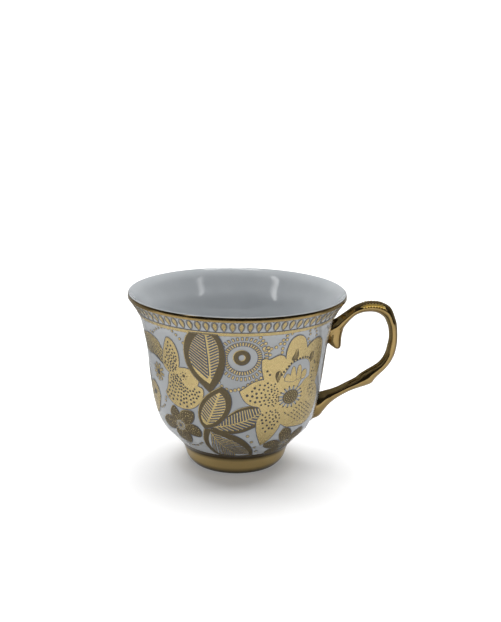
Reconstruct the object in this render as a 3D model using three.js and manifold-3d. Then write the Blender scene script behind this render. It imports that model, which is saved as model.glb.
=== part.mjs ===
// A porcelain teacup: a flared bowl on a low foot ring, with an ear-shaped scroll handle.
// Gilding and printed transfers are thin sleeves over the porcelain, and beads of slip hold the handle.
// Millimetres, +Z up, standing on Z = 0, with the origin midway between the rim and the handle's far side.
import * as THREE from 'three';
import { mergeVertices } from 'three/addons/utils/BufferGeometryUtils.js';
import Module from 'manifold-3d';

const wasm = await Module();
wasm.setup();

// Driving dimensions of the bowl and foot
const HEIGHT = 73.5;
const RIM_RADIUS = 45;
const LIP_ROUND = 0.7;
const WALL_AT_LIP = 1.6;
const WALL_AT_WAIST = 3.4;
const FLOOR_HEIGHT = 8.4;
const FOOT_STAND_OUTER = 18.6;
const FOOT_STAND_INNER = 17.2;
const RECESS_RADIUS = 16.6;
const RECESS_DEPTH = 5;
const WAIST_HEIGHT = 6.7;

// Heights on the outside where one covering ends and the next begins
const FOOT_GILDING_TOP = 10.3;
const FLORAL_TOP = 66;
const BORDER_TOP = 71.8;

// Coverings and the handle's joints
const FILM = 0.3;
const SLIP_THICKNESS = 0.8;
const SLIP_OVERHANG = 0.5;
const GAP = 0.3;
const PRINT_SLOT_WIDTH = 11;

const ROUND_STEPS = 48;
const HANDLE_SIDES = 12;

const point2 = ([x, y]) => new THREE.Vector2(x, y);
const evenly = (from, to, count) =>
  Array.from({ length: count }, (_, i) => from + ((to - from) * i) / (count - 1));

// The outside of the foot as (radius, height), from its standing edge up to the waist
const footSide = new THREE.SplineCurve([
  [FOOT_STAND_OUTER, 0],
  [19.9, 1.4],
  [21.0, 3.2],
  [21.6, RECESS_DEPTH],
  [22.1, WAIST_HEIGHT],
].map(point2));

// The outside of the bowl as (radius, height), from the waist to where the lip starts to round
const bowlSide = new THREE.SplineCurve([
  [22.1, WAIST_HEIGHT],
  [24.3, FOOT_GILDING_TOP],
  [27.9, 14.4],
  [31.2, 18.9],
  [33.3, 24.4],
  [34.7, 30.6],
  [35.7, 37.4],
  [36.6, 44.5],
  [37.5, 51.5],
  [38.7, 57.9],
  [40.3, 63.6],
  [42.7, 68.6],
  [RIM_RADIUS, HEIGHT - LIP_ROUND],
].map(point2));

// The point of a curve at one height, found by halving because height only rises along it
function atHeight(curve, height) {
  let low = 0;
  let high = 1;
  for (let i = 0; i < 40; i += 1) {
    const middle = (low + high) / 2;
    if (curve.getPoint(middle).y < height) low = middle;
    else high = middle;
  }
  return curve.getPoint(high);
}

// The outside in four stretches, each sharing its end point with the next
const onFoot = (height) => atHeight(footSide, height);
const onBowl = (height) => atHeight(bowlSide, height);
const standSkin = [0, 0.8, 1.8, 3.2, RECESS_DEPTH].map(onFoot);
const footSkin = [...standSkin, onFoot(WAIST_HEIGHT), ...[8.3, FOOT_GILDING_TOP].map(onBowl)];
const floralSkin = [
  footSkin.at(-1),
  ...[12.6, 15.2, 18.2, 22, 27, 33, 40, 47, 54, 60, FLORAL_TOP].map(onBowl),
];
const borderSkin = [floralSkin.at(-1), ...[69, BORDER_TOP].map(onBowl)];
const roundedLip = evenly(0, Math.PI / 2, 4).map((angle) => new THREE.Vector2(
  RIM_RADIUS - LIP_ROUND * (1 - Math.cos(angle)),
  HEIGHT - LIP_ROUND * (1 - Math.sin(angle)),
));
const rimSkin = [borderSkin.at(-1), ...roundedLip];
const wholeSkin = [...footSkin, ...floralSkin.slice(1), ...borderSkin.slice(1), ...rimSkin.slice(1)];

// A stretch of the outside moved inwards, square to its own surface, by a depth given for each point
function inset(skin, depthAt) {
  return skin.map((point, i) => {
    const before = skin[Math.max(i - 1, 0)];
    const after = skin[Math.min(i + 1, skin.length - 1)];
    const along = after.clone().sub(before).normalize();
    const depth = depthAt(point);
    return new THREE.Vector2(point.x - along.y * depth, point.y + along.x * depth);
  });
}

// The bare porcelain under the coverings, which thin out to nothing at the standing edge
const bareSkin = inset(wholeSkin, () => FILM);
bareSkin[0] = wholeSkin[0].clone();
bareSkin[standSkin.length - 1].y = RECESS_DEPTH;
bareSkin.at(-1).set(wholeSkin.at(-1).x, HEIGHT - FILM);

function bareUnder(skin) {
  const first = wholeSkin.indexOf(skin[0]);
  return bareSkin.slice(first, first + skin.length);
}

// The inside, from the lip down to the middle of the floor
const wallThickness = ({ y: height }) => THREE.MathUtils.mapLinear(
  height, WAIST_HEIGHT, HEIGHT, WALL_AT_WAIST, WALL_AT_LIP,
);
const insideWall = inset([15.2, 18.2, 22, 27, 33, 40, 47, 54, 60, FLORAL_TOP, 70].map(onBowl), wallThickness);
const insideSkin = [
  new THREE.Vector2(RIM_RADIUS - 2 * LIP_ROUND, HEIGHT - LIP_ROUND),
  ...insideWall.reverse(),
  new THREE.Vector2(20.6, FLOOR_HEIGHT + 4.2),
  new THREE.Vector2(16, FLOOR_HEIGHT + 1.6),
  new THREE.Vector2(9, FLOOR_HEIGHT + 0.3),
  new THREE.Vector2(0, FLOOR_HEIGHT),
];

// Turned solid about +Z from an outline of (radius, height) that runs counter-clockwise
const turned = (outline) =>
  new THREE.LatheGeometry([...outline, outline[0]], ROUND_STEPS).rotateX(Math.PI / 2);

// A covering: the cup's true outside on one face and the bare porcelain under it on the other
const sleeve = (skin) => turned([...skin, ...bareUnder(skin).reverse()]);

function toSolid(geometry) {
  const bare = geometry.clone();
  bare.deleteAttribute('normal');
  bare.deleteAttribute('uv');
  const merged = mergeVertices(bare, 1e-4);
  return new wasm.Manifold(new wasm.Mesh({
    numProp: 3,
    vertProperties: merged.attributes.position.array,
    triVerts: new Uint32Array(merged.index.array),
  }));
}

function toGeometry(solid) {
  const mesh = solid.getMesh();
  const geometry = new THREE.BufferGeometry();
  geometry.setAttribute('position', new THREE.BufferAttribute(mesh.vertProperties, 3));
  geometry.setIndex(new THREE.BufferAttribute(mesh.triVerts, 1));
  geometry.computeVertexNormals();
  return geometry;
}

// Everything inside the cup's outside grown by a distance, used to shape what stands on it
function grownCup(distance) {
  const [lowest, ...rest] = inset(wholeSkin.slice(1), () => -distance);
  return toSolid(turned([
    new THREE.Vector2(0, lowest.y),
    lowest,
    ...rest,
    new THREE.Vector2(rest.at(-1).x, 2 * HEIGHT),
    new THREE.Vector2(0, 2 * HEIGHT),
  ]));
}

function bowl() {
  const atRecess = standSkin.length - 1;
  return turned([new THREE.Vector2(0, RECESS_DEPTH), ...bareSkin.slice(atRecess), ...insideSkin]);
}

function footRing() {
  const innerChamfer = RECESS_RADIUS - FOOT_STAND_INNER;
  return turned([
    new THREE.Vector2(FOOT_STAND_INNER, 0),
    ...bareUnder(standSkin),
    new THREE.Vector2(RECESS_RADIUS, RECESS_DEPTH),
    new THREE.Vector2(RECESS_RADIUS, -innerChamfer),
  ]);
}

// The print stops at a slot where the handle stands on the bare glaze
function floralTransfer() {
  const slot = new THREE.BoxGeometry(RIM_RADIUS, PRINT_SLOT_WIDTH, 2 * HEIGHT);
  slot.translate(RIM_RADIUS, 0, 0);
  return toGeometry(toSolid(sleeve(floralSkin)).subtract(toSolid(slot)));
}

// Stations along the handle as [x, z, half thickness in its plane, half width across it].
// The loop runs from the upper root over the thumb rest and down to the flared lower root.
const LOOP = [
  [36.0, 55.6, 5.2, 3.0],
  [41.2, 58.8, 4.0, 3.0],
  [44.9, 61.9, 2.5, 2.7],
  [50.6, 66.2, 2.0, 2.6],
  [56.6, 67.2, 2.3, 2.9],
  [61.4, 65.4, 2.5, 3.2],
  [64.4, 60.7, 1.8, 2.8],
  [65.6, 54.8, 1.6, 2.5],
  [64.8, 48.6, 1.7, 2.5],
  [61.8, 42.6, 1.9, 2.5],
  [57.4, 38.4, 2.5, 2.7],
  [53.9, 35.7, 2.9, 2.9],
  [49.8, 33.3, 2.3, 2.6],
  [43.6, 30.0, 2.3, 2.6],
  [38.6, 26.6, 3.6, 2.9],
  [33.2, 22.9, 5.4, 3.2],
  [28.0, 20.0, 6.0, 3.2],
];

// The spur curls down from the upper root and lies close to the bowl
const SPUR = [
  [41.0, 61.0, 3.2, 2.6],
  [41.4, 57.2, 3.0, 2.8],
  [41.2, 53.6, 2.6, 2.6],
  [41.6, 50.8, 1.9, 2.2],
  [42.0, 49.0, 0.9, 1.3],
];

// A closed cylinder bent along its stations, with every section grown by a margin
function bentBar(stations, steps, growth) {
  const path = new THREE.CatmullRomCurve3(stations.map(([x, z]) => new THREE.Vector3(x, 0, z)));
  const sizes = new THREE.CatmullRomCurve3(
    stations.map(([, , thick, wide]) => new THREE.Vector3(thick + growth, wide + growth, 0)),
  );
  const geometry = new THREE.CylinderGeometry(1, 1, 1, HANDLE_SIDES, steps);
  const position = geometry.getAttribute('position');
  for (let i = 0; i < position.count; i += 1) {
    const t = position.getY(i) + 0.5;
    const centre = path.getPoint(t);
    const along = path.getTangent(t);
    const size = sizes.getPoint(t);
    const inPlane = position.getX(i) * size.x;
    const across = position.getZ(i) * size.y;
    position.setXYZ(i, centre.x - along.z * inPlane, across, centre.z + along.x * inPlane);
  }
  return toSolid(geometry);
}

const scroll = (growth) => bentBar(LOOP, 30, growth).add(bentBar(SPUR, 8, growth));

const handle = () => toGeometry(scroll(0).subtract(grownCup(SLIP_THICKNESS + GAP)));

// One bead of slip, spread a little past the root it holds and following the bowl's outside
function slipBead(middleHeight) {
  const nearRoot = new THREE.BoxGeometry(RIM_RADIUS, RIM_RADIUS, HEIGHT / 2);
  nearRoot.translate(RIM_RADIUS, 0, middleHeight);
  const layer = grownCup(SLIP_THICKNESS).subtract(grownCup(0));
  return toGeometry(scroll(SLIP_OVERHANG).intersect(layer).intersect(toSolid(nearRoot)));
}

const porcelain = new THREE.MeshStandardMaterial({ color: 0xb9bec8, roughness: 0.15, metalness: 0 });
const gilt = new THREE.MeshStandardMaterial({ color: 0xb08a45, roughness: 0.2, metalness: 1 });
const printedGold = new THREE.MeshStandardMaterial({ color: 0xb5a26c, roughness: 0.5, metalness: 0.8 });

const cup = new THREE.Group();
[
  ['bowl', bowl(), porcelain],
  ['foot_ring', footRing(), porcelain],
  ['foot_gilding', sleeve(footSkin), gilt],
  ['floral_transfer', floralTransfer(), printedGold],
  ['border_transfer', sleeve(borderSkin), printedGold],
  ['rim_gilding', sleeve(rimSkin), gilt],
  ['handle', handle(), gilt],
  ['upper_slip_bead', slipBead(0.8 * HEIGHT), gilt],
  ['lower_slip_bead', slipBead(0.3 * HEIGHT), gilt],
].forEach(([name, geometry, material]) => {
  const mesh = new THREE.Mesh(geometry, material);
  mesh.name = name;
  cup.add(mesh);
});

const extent = new THREE.Box3().setFromObject(cup);
cup.position.x = -(extent.min.x + extent.max.x) / 2;

const part = new THREE.Group();
part.add(cup);
export default part;
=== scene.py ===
"""A gilded porcelain teacup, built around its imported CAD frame.

The bowl, foot and gilding are turned, the handle is lofted between its outer and inner outlines,
and the print is made of thin patches drawn on the unrolled wall and laid on the bowl's outside.
"""

import math
import random

import bpy
import numpy as np
from mathutils import Matrix, Vector
from mathutils.geometry import delaunay_2d_cdt


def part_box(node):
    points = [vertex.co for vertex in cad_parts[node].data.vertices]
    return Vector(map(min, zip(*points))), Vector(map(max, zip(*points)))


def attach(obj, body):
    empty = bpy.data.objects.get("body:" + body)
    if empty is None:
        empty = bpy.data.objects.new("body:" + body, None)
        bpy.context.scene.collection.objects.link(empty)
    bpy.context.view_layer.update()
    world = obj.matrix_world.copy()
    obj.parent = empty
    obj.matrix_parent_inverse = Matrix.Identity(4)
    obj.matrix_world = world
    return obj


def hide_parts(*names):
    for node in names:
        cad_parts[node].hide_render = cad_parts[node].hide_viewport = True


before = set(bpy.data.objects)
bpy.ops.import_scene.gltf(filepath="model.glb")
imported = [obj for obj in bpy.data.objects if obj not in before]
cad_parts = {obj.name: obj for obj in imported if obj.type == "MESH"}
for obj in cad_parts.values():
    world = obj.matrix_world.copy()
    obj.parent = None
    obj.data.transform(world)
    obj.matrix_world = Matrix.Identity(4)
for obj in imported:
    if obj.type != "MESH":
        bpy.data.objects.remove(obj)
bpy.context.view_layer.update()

# ---------------------------------------------------------------- measures, in millimetres
MM = 0.001
bowl_low, bowl_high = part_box("bowl")
rim_low, rim_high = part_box("rim_gilding")
AXIS_X = (bowl_low.x + bowl_high.x) / 2 / MM
HEIGHT = rim_high.z / MM
RIM_RADIUS = (rim_high.y - rim_low.y) / 2 / MM
RECESS_DEPTH = bowl_low.z / MM
FOOT_TOP = 6.7
GILDING_TOP = 10.5
RECESS_RADIUS = 16.6
FOOT_SEAT_RADIUS = 21.4
LOWER_LINE_HEIGHT = 66.0
LIP_WIDE, LIP_TALL = 0.6, 1.9
LIP_SWEEP, GILT_SWEEP = math.radians(112), math.radians(56)
GILT_FILM = 0.05
FOOT_GILDING_THICKNESS, RIM_GILDING_THICKNESS = 0.1, 0.12
ROUND_STEPS = 256

# The outside of the foot and of the bowl, and the inside, as (radius, height)
FOOT_SIDE = [(18.6, 0), (19.2, 0.6), (20, 1.5), (20.9, 2.9), (21.55, 5), (22.1, FOOT_TOP)]
BOWL_SIDE = [
    (22.1, FOOT_TOP), (22.9, 8.4), (24.1, 9.9), (27.8, 14), (30.5, 16.9), (32.6, 20.6),
    (33.9, 25), (35.1, 30.9), (36.1, 38.2), (36.9, 45.6), (37.8, 52.9), (39, 58.8),
    (40.1, 63.2), (41.8, 66.9), (43.3, 69.2), (44.35, 70.8), (RIM_RADIUS - 0.07, HEIGHT - LIP_TALL),
]
INSIDE = [
    (RIM_RADIUS - 0.9, HEIGHT - 0.2), (43.1, 72.1), (41.8, 70.2), (39.9, 66.2), (38, 62), (36.6, 57.2),
    (35.4, 51.6),
    (34.5, 45), (33.5, 38), (32.3, 31.6), (30.6, 26), (27.6, 20.4), (23.2, 15.2),
    (17.6, 10.8), (9, 8.7), (0, 8.4),
]


# ---------------------------------------------------------------- curves
def smooth_line(points, step, closed=False):
    """A smooth line through the points, as evenly spread samples about one step apart."""
    p = np.asarray(points, float)
    if closed:
        p = np.vstack([p[-1:], p, p[:2]])
    else:
        p = np.vstack([2 * p[0] - p[1], p, 2 * p[-1] - p[-2]])
    samples = []
    for a, b, c, d in zip(p, p[1:], p[2:], p[3:]):
        count = max(1, math.ceil(np.linalg.norm(c - b) / step))
        t = (np.arange(count) / count)[:, None]
        samples.append(
            b + 0.5 * t * (c - a + t * (2 * a - 5 * b + 4 * c - d + t * (3 * (b - c) + d - a)))
        )
    if not closed:
        samples.append(p[-2:-1])
    return np.vstack(samples)


def outline(*arcs, step=0.9):
    """A closed outline. A single list of points is smooth all round. Of several lists, each is a
    smooth arc that starts at the corner where the list before it ends."""
    scaled = [np.asarray(arc, float) * (FLAT, 1) for arc in arcs]
    if len(arcs) == 1:
        line = smooth_line(scaled[0], step, closed=True)
    else:
        cornered = [np.vstack([last[-1:], arc]) for last, arc in zip(scaled[-1:] + scaled, scaled)]
        line = np.vstack([smooth_line(arc, step)[:-1] for arc in cornered])
    return line / (FLAT, 1)


# The unrolled wall: x is the angle in degrees from the front, towards the handle, and y is the
# distance down the wall from the lower gilt line. FLAT turns degrees into millimetres there.
FLAT = math.radians(36)
wall_line = smooth_line(BOWL_SIDE, 0.25)[::-1]
wall_steps = np.hypot(*np.diff(wall_line, axis=0).T)
wall_down = np.concatenate([[0], np.cumsum(wall_steps)])
wall_down -= np.interp(-LOWER_LINE_HEIGHT, -wall_line[:, 1], wall_down)
wall_slope = np.gradient(wall_line, wall_down, axis=0)


def on_wall(points, lift):
    """Points of the unrolled wall, in metres on the cup, lifted off it by some millimetres."""
    points = np.asarray(points, float).reshape(-1, 2)
    radius, height = (np.interp(points[:, 1], wall_down, wall_line[:, k]) for k in (0, 1))
    slope_r, slope_z = (np.interp(points[:, 1], wall_down, wall_slope[:, k]) for k in (0, 1))
    radius = radius - slope_z * lift
    height = height + slope_r * lift
    turn = np.radians(points[:, 0])
    return np.stack([AXIS_X + radius * np.sin(turn), -radius * np.cos(turn), height], 1) * MM


def wall_radius(down):
    """The cup's radius at some distance down the unrolled wall."""
    return float(np.interp(down, wall_down, wall_line[:, 0]))


def down_at(height):
    """How far down the unrolled wall a height lies."""
    return float(np.interp(-height, -wall_line[:, 1], wall_down))


# ---------------------------------------------------------------- meshes
def make_object(name, vertices, faces, material, smooth=True):
    """A mesh object in the scene, from vertices in metres."""
    mesh = bpy.data.meshes.new(name)
    mesh.from_pydata([tuple(v) for v in vertices], [], [tuple(f) for f in faces])
    mesh.polygons.foreach_set("use_smooth", [smooth] * len(mesh.polygons))
    mesh.materials.append(material)
    mesh.update()
    thing = bpy.data.objects.new(name, mesh)
    bpy.context.scene.collection.objects.link(thing)
    return thing


def place(thing, slot, *nodes):
    """Fixes a finished piece to the cup's one body, in the place of the CAD nodes it stands for."""
    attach(thing, "root")
    if nodes:
        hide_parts(*nodes)
    return thing


def quads_around(rows, sides, joined=False):
    """Faces between neighbouring rows of points, where every row is a closed ring. Joined also
    ties the last row to the first."""
    faces = []
    for row in range(rows if joined else rows - 1):
        this, following = row * sides, (row + 1) % rows * sides
        for k in range(sides):
            beyond = (k + 1) % sides
            faces.append((this + k, this + beyond, following + beyond, following + k))
    return faces


def capped_tube(rows, sides):
    """The faces of a tube of rings, closed by a flat cap at each end."""
    end = (rows - 1) * sides
    return quads_around(rows, sides) + [tuple(reversed(range(sides))), tuple(range(end, end + sides))]


def turned(name, line, material):
    """A solid of revolution from a closed outline of (radius, height), run counter-clockwise.
    Points on the axis become one vertex each."""
    steps = ROUND_STEPS
    vertices, rings = [], []
    for radius, height in line:
        count = steps if radius > 1e-6 else 1
        rings.append((len(vertices), count))
        for k in range(count):
            turn = math.tau * k / steps
            x = AXIS_X + radius * math.sin(turn)
            vertices.append((x * MM, -radius * math.cos(turn) * MM, height * MM))
    faces = []
    for (a, a_count), (b, b_count) in zip(rings, rings[1:] + rings[:1]):
        if a_count == b_count == 1:
            continue
        for k in range(steps):
            following = (k + 1) % steps
            near = [a + k % a_count, a + following % a_count]
            far = [b + following % b_count, b + k % b_count]
            faces.append(list(dict.fromkeys(near + far)))
    return make_object(name, vertices, faces, material)


def inside_outline(points, border):
    """Which of the points lie inside a closed border, by counting the sides that each one crosses."""
    x, y = np.asarray(points, float).reshape(-1, 2).T
    inside = np.zeros(len(x), bool)
    for (ax, ay), (bx, by) in zip(border, np.roll(border, -1, axis=0)):
        if ay != by:
            crosses = ((ay > y) != (by > y)) & (x < (bx - ax) * (y - ay) / (by - ay) + ax)
            inside ^= crosses
    return inside


def grown(border, margin):
    """A closed outline on the unrolled wall, moved outwards by some millimetres."""
    flat = np.asarray(border, float) * (FLAT, 1)
    along = np.roll(flat, -1, axis=0) - np.roll(flat, 1, axis=0)
    along /= np.maximum(np.linalg.norm(along, axis=1), 1e-9)[:, None]
    area = np.sum(flat[:, 0] * np.roll(flat[:, 1], -1) - np.roll(flat[:, 0], -1) * flat[:, 1])
    out = np.stack([along[:, 1], -along[:, 0]], 1) * math.copysign(1, area)
    return (flat + out * margin) / (FLAT, 1)


def circle(centre, radius, sides):
    """Points round a centre on the unrolled wall, which make a true circle on the cup."""
    turn = np.arange(sides) * math.tau / sides
    wide = math.degrees(radius / wall_radius(centre[1]))
    return np.stack([centre[0] + wide * np.cos(turn), centre[1] + radius * np.sin(turn)], 1)


class PrintLayer:
    """One colour of the print: thin closed patches on the wall, gathered into one mesh.
    A patch's level says how far it stands above the patches that it covers."""

    STEP = 0.022
    FOOTING = -0.09
    GRID = 1.25
    EDGE_ROOM = 0.45
    THINNING = 0.8
    turn = 0.0

    def __init__(self):
        self.vertices, self.faces, self.count = [], [], 0

    def add(self, points, faces, level):
        """A closed solid under flat faces, which run clockwise on the unrolled wall."""
        points = np.asarray(points, float) + (PrintLayer.turn, 0)
        n = len(points)
        top = self.count
        self.vertices += [on_wall(points, (level + 1) * self.STEP), on_wall(points, self.FOOTING)]
        self.count += 2 * n
        sides = {(a, b) for face in faces for a, b in zip(face, face[1:] + face[:1])}
        for face in faces:
            self.faces.append([top + k for k in face])
            self.faces.append([top + n + k for k in reversed(face)])
        for a, b in sides:
            if (b, a) not in sides:
                self.faces.append([top + b, top + a, top + n + a, top + n + b])

    def patch(self, border, level, hole=None):
        """A filled outline, cut up finely enough to follow the wall. Any hole stays open."""
        loops = [np.asarray(loop, float) * (FLAT, 1) for loop in (border, hole) if loop is not None]
        low, high = loops[0].min(0), loops[0].max(0)
        grid = np.stack(np.meshgrid(*(np.arange(a, b, self.GRID) for a, b in zip(low, high))), -1)
        grid = grid.reshape(-1, 2) + self.GRID / 2
        grid = grid[inside_outline(grid, loops[0])]
        edge_points = np.vstack(loops)
        if len(grid):
            away = np.linalg.norm(grid[:, None] - edge_points[None], axis=2).min(1)
            grid = grid[away > self.EDGE_ROOM * self.GRID]
        edges, start = [], 0
        for loop in loops:
            edges += [(start + k, start + (k + 1) % len(loop)) for k in range(len(loop))]
            start += len(loop)
        points = [Vector(p) for p in np.vstack([edge_points, grid])]
        points, _, faces, *_ = delaunay_2d_cdt(points, edges, [], 1, 1e-6)
        points = np.array([tuple(p) for p in points])
        middles = np.array([points[list(f)].mean(0) for f in faces])
        keep = inside_outline(middles, loops[0])
        if hole is not None:
            keep &= ~inside_outline(middles, loops[1])
        self.add(points / (FLAT, 1), [clockwise(f, points) for f, k in zip(faces, keep) if k], level)

    def stroke(self, line, width, level, taper=0.0):
        """A line of one width, or one that thins towards its far end as taper goes from 0 to 1."""
        flat = smooth_line(np.asarray(line, float) * (FLAT, 1), self.GRID)
        along = np.gradient(flat, axis=0)
        along /= np.linalg.norm(along, axis=1)[:, None]
        half = width / 2 * (1 - taper * self.THINNING * np.linspace(0, 1, len(flat)))[:, None]
        side = np.stack([along[:, 1], -along[:, 0]], 1) * half
        points = np.vstack([flat + side, flat - side])
        n = len(flat)
        faces = [clockwise((k, k + 1, n + k + 1, n + k), points) for k in range(n - 1)]
        self.add(points / (FLAT, 1), faces, level)

    def dot(self, centre, radius, level, sides=10):
        """A round dot."""
        points = circle(centre, radius, sides)
        self.add(points, [clockwise(tuple(range(sides)), points)], level)

    def ring(self, centre, inner, outer, level):
        """A round band about a centre."""
        sides = 64
        points = np.vstack([circle(centre, radius, sides) for radius in (inner, outer)])
        self.add(points, [clockwise(face, points) for face in quads_around(2, sides)], level)

    def to_object(self, name, material):
        """All of this layer's patches as one flat-shaded object."""
        return make_object(name, np.vstack(self.vertices), self.faces, material, smooth=False)


def clockwise(face, points):
    """The face's corners in the order that turns it outwards once it is on the wall."""
    x, y = np.asarray([points[k] for k in face], float).T
    area = np.sum(x * np.roll(y, -1) - np.roll(x, -1) * y)
    return tuple(face) if area < 0 else tuple(reversed(face))


# ---------------------------------------------------------------- materials
NOISE_LOW, NOISE_HIGH = 0.3, 0.7
COAT_ROUGHNESS = 0.06


def new_material(name, colour, roughness, metallic=0.0, specular=0.5, coat=0.0):
    """A principled material, its steady values set on the shader's own sockets."""
    material = bpy.data.materials.new(name)
    material.use_nodes = True
    shader = material.node_tree.nodes["Principled BSDF"]
    shader.inputs["Base Color"].default_value = (*colour, 1)
    shader.inputs["Roughness"].default_value = roughness
    shader.inputs["Metallic"].default_value = metallic
    shader.inputs["Specular IOR Level"].default_value = specular
    shader.inputs["Coat Weight"].default_value = coat
    shader.inputs["Coat Roughness"].default_value = COAT_ROUGHNESS
    return material


def add_noise(material, size_mm, detail=3.0):
    """Noise in the object's own space, with features of about the given size."""
    tree = material.node_tree
    coordinates = tree.nodes.new("ShaderNodeTexCoord")
    noise = tree.nodes.new("ShaderNodeTexNoise")
    noise.inputs["Scale"].default_value = 1 / (size_mm * MM)
    noise.inputs["Detail"].default_value = detail
    tree.links.new(coordinates.outputs["Object"], noise.inputs["Vector"])
    return noise.outputs["Fac"]


def ramp(material, factor, stops):
    """A colour ramp over a factor, from (position, colour) stops."""
    node = material.node_tree.nodes.new("ShaderNodeValToRGB")
    elements = node.color_ramp.elements
    while len(elements) < len(stops):
        elements.new(0.5)
    for element, (position, colour) in zip(elements, stops):
        element.position = position
        element.color = (*colour, 1)
    material.node_tree.links.new(factor, node.inputs["Fac"])
    return node.outputs["Color"]


def vary(material, socket, factor, low, high):
    """Lets a value of the shader wander between two limits with a noise."""
    node = material.node_tree.nodes.new("ShaderNodeMapRange")
    node.inputs["From Min"].default_value = NOISE_LOW
    node.inputs["From Max"].default_value = NOISE_HIGH
    node.inputs["To Min"].default_value = low
    node.inputs["To Max"].default_value = high
    shader = material.node_tree.nodes["Principled BSDF"]
    material.node_tree.links.new(factor, node.inputs["Value"])
    material.node_tree.links.new(node.outputs["Result"], shader.inputs[socket])


def add_bump(material, factor, height_mm):
    """Small relief of some height, which follows a noise."""
    tree = material.node_tree
    bump = tree.nodes.new("ShaderNodeBump")
    bump.inputs["Strength"].default_value = 1
    bump.inputs["Distance"].default_value = height_mm * MM
    tree.links.new(factor, bump.inputs["Height"])
    shader = tree.nodes["Principled BSDF"]
    tree.links.new(bump.outputs["Normal"], shader.inputs["Normal"])


def tint(material, factor, stops):
    """Colours the surface by a ramp over a factor."""
    shader = material.node_tree.nodes["Principled BSDF"]
    material.node_tree.links.new(ramp(material, factor, stops), shader.inputs["Base Color"])


def mottle(material, noise, dark, light):
    """Lets the colour wander between two shades with a noise."""
    tint(material, noise, [(NOISE_LOW, dark), (NOISE_HIGH, light)])


def along_axis(tree, space, axis, low, high, results=(0, 1), kind="SMOOTHSTEP"):
    """A value that runs between two results while one coordinate runs from low to high."""
    coordinates = tree.nodes.new("ShaderNodeTexCoord")
    split = tree.nodes.new("ShaderNodeSeparateXYZ")
    slide = tree.nodes.new("ShaderNodeMapRange")
    slide.interpolation_type = kind
    for socket, value in zip(("From Min", "From Max", "To Min", "To Max"), (low, high, *results)):
        slide.inputs[socket].default_value = value
    tree.links.new(coordinates.outputs[space], split.inputs["Vector"])
    tree.links.new(split.outputs[axis], slide.inputs["Value"])
    return slide.outputs["Result"]


def glazed_porcelain(name, shade, ripple_mm):
    """Cool white porcelain under a clear glaze that pools and ripples very slightly."""
    middle, dark, light = (
        [channel * shade for channel in colour]
        for colour in ((0.36, 0.378, 0.39), (0.345, 0.363, 0.378), (0.375, 0.392, 0.405))
    )
    material = new_material(name, middle, 0.1, coat=0.6)
    mottle(material, add_noise(material, 14), dark, light)
    vary(material, "Roughness", add_noise(material, 6), 0.08, 0.16)
    add_bump(material, add_noise(material, 11, detail=1.0), ripple_mm)
    return material


def bare_porcelain():
    """The ground, unglazed standing ring: matt, a little stained and finely pitted."""
    material = new_material("bare_porcelain", (0.34, 0.33, 0.31), 0.75)
    mottle(material, add_noise(material, 2.5), (0.28, 0.265, 0.24), (0.37, 0.36, 0.34))
    add_bump(material, add_noise(material, 0.3), 0.03)
    return material


def bright_gold():
    """Burnished liquid gold: a mirror that carries brush marks and faint finger bloom."""
    material = new_material("bright_gold", (0.3, 0.21, 0.086), 0.12, metallic=1.0)
    mottle(material, add_noise(material, 9), (0.27, 0.187, 0.075), (0.33, 0.232, 0.096))
    vary(material, "Roughness", add_noise(material, 1.5), 0.09, 0.2)
    add_bump(material, add_noise(material, 3, detail=1.0), 0.01)
    return material


def highlighted_rope_gilt():
    """Gold on the small twisted moulding, painted far brighter than the handle's gold as a painted
    highlight on every strand.
    """
    material = new_material("highlighted_rope_gilt", (0.85, 0.64, 0.22), 0.28, metallic=1.0)
    mottle(material, add_noise(material, 0.5), (0.72, 0.52, 0.16), (0.95, 0.74, 0.28))
    add_bump(material, add_noise(material, 0.4), 0.01)
    return material


def foot_gold():
    """The same gold over the foot, satin. It is painted darker along both edges of the gilding, as
    a stand-in for the shade and the dark reflections there."""
    material = new_material("foot_gold", (0.60, 0.44, 0.20), 0.18, metallic=1.0)
    height = along_axis(material.node_tree, "Object", "Z", 0, GILDING_TOP * MM, kind="LINEAR")
    edge, middle = (0.11, 0.08, 0.038), (0.74, 0.55, 0.245)
    tint(material, height, [(0.1, edge), (0.33, middle), (0.62, middle), (0.8, edge)])
    vary(material, "Roughness", add_noise(material, 2.0), 0.13, 0.22)
    add_bump(material, add_noise(material, 3.0, detail=1.0), 0.006)
    return material


def pale_print():
    """The pale gold of the print, satin and finely grained where the screen laid it down."""
    material = new_material("pale_print", (0.46, 0.355, 0.16), 0.24, metallic=0.75)
    grain = add_noise(material, 0.22, detail=2.0)
    mottle(material, grain, (0.4, 0.31, 0.137), (0.47, 0.365, 0.17))
    vary(material, "Roughness", add_noise(material, 2.0), 0.22, 0.33)
    add_bump(material, grain, 0.003)
    return material


def dark_print():
    """The dark gold of the print, a little smoother. Its bronze brown is partly the print's own second tone
    and partly painted reflection of the dark surroundings that this gold mirrors.
    """
    material = new_material("dark_print", (0.09, 0.066, 0.027), 0.38, metallic=0.4)
    grain = add_noise(material, 0.3, detail=2.0)
    mottle(material, grain, (0.073, 0.053, 0.021), (0.108, 0.079, 0.034))
    add_bump(material, grain, 0.004)
    return material


def keyline_ink():
    """The thin slate grey lines around and across the gold."""
    material = new_material("keyline_ink", (0.055, 0.062, 0.088), 0.3)
    mottle(material, add_noise(material, 1.0), (0.045, 0.05, 0.07), (0.07, 0.079, 0.112))
    return material


def spot_ink():
    """The near black spots on the petals."""
    material = new_material("spot_ink", (0.018, 0.017, 0.018), 0.35)
    mottle(material, add_noise(material, 0.8), (0.014, 0.013, 0.013), (0.03, 0.027, 0.026))
    return material


porcelain = glazed_porcelain("glazed_porcelain", 1.0, 0.12)
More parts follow.
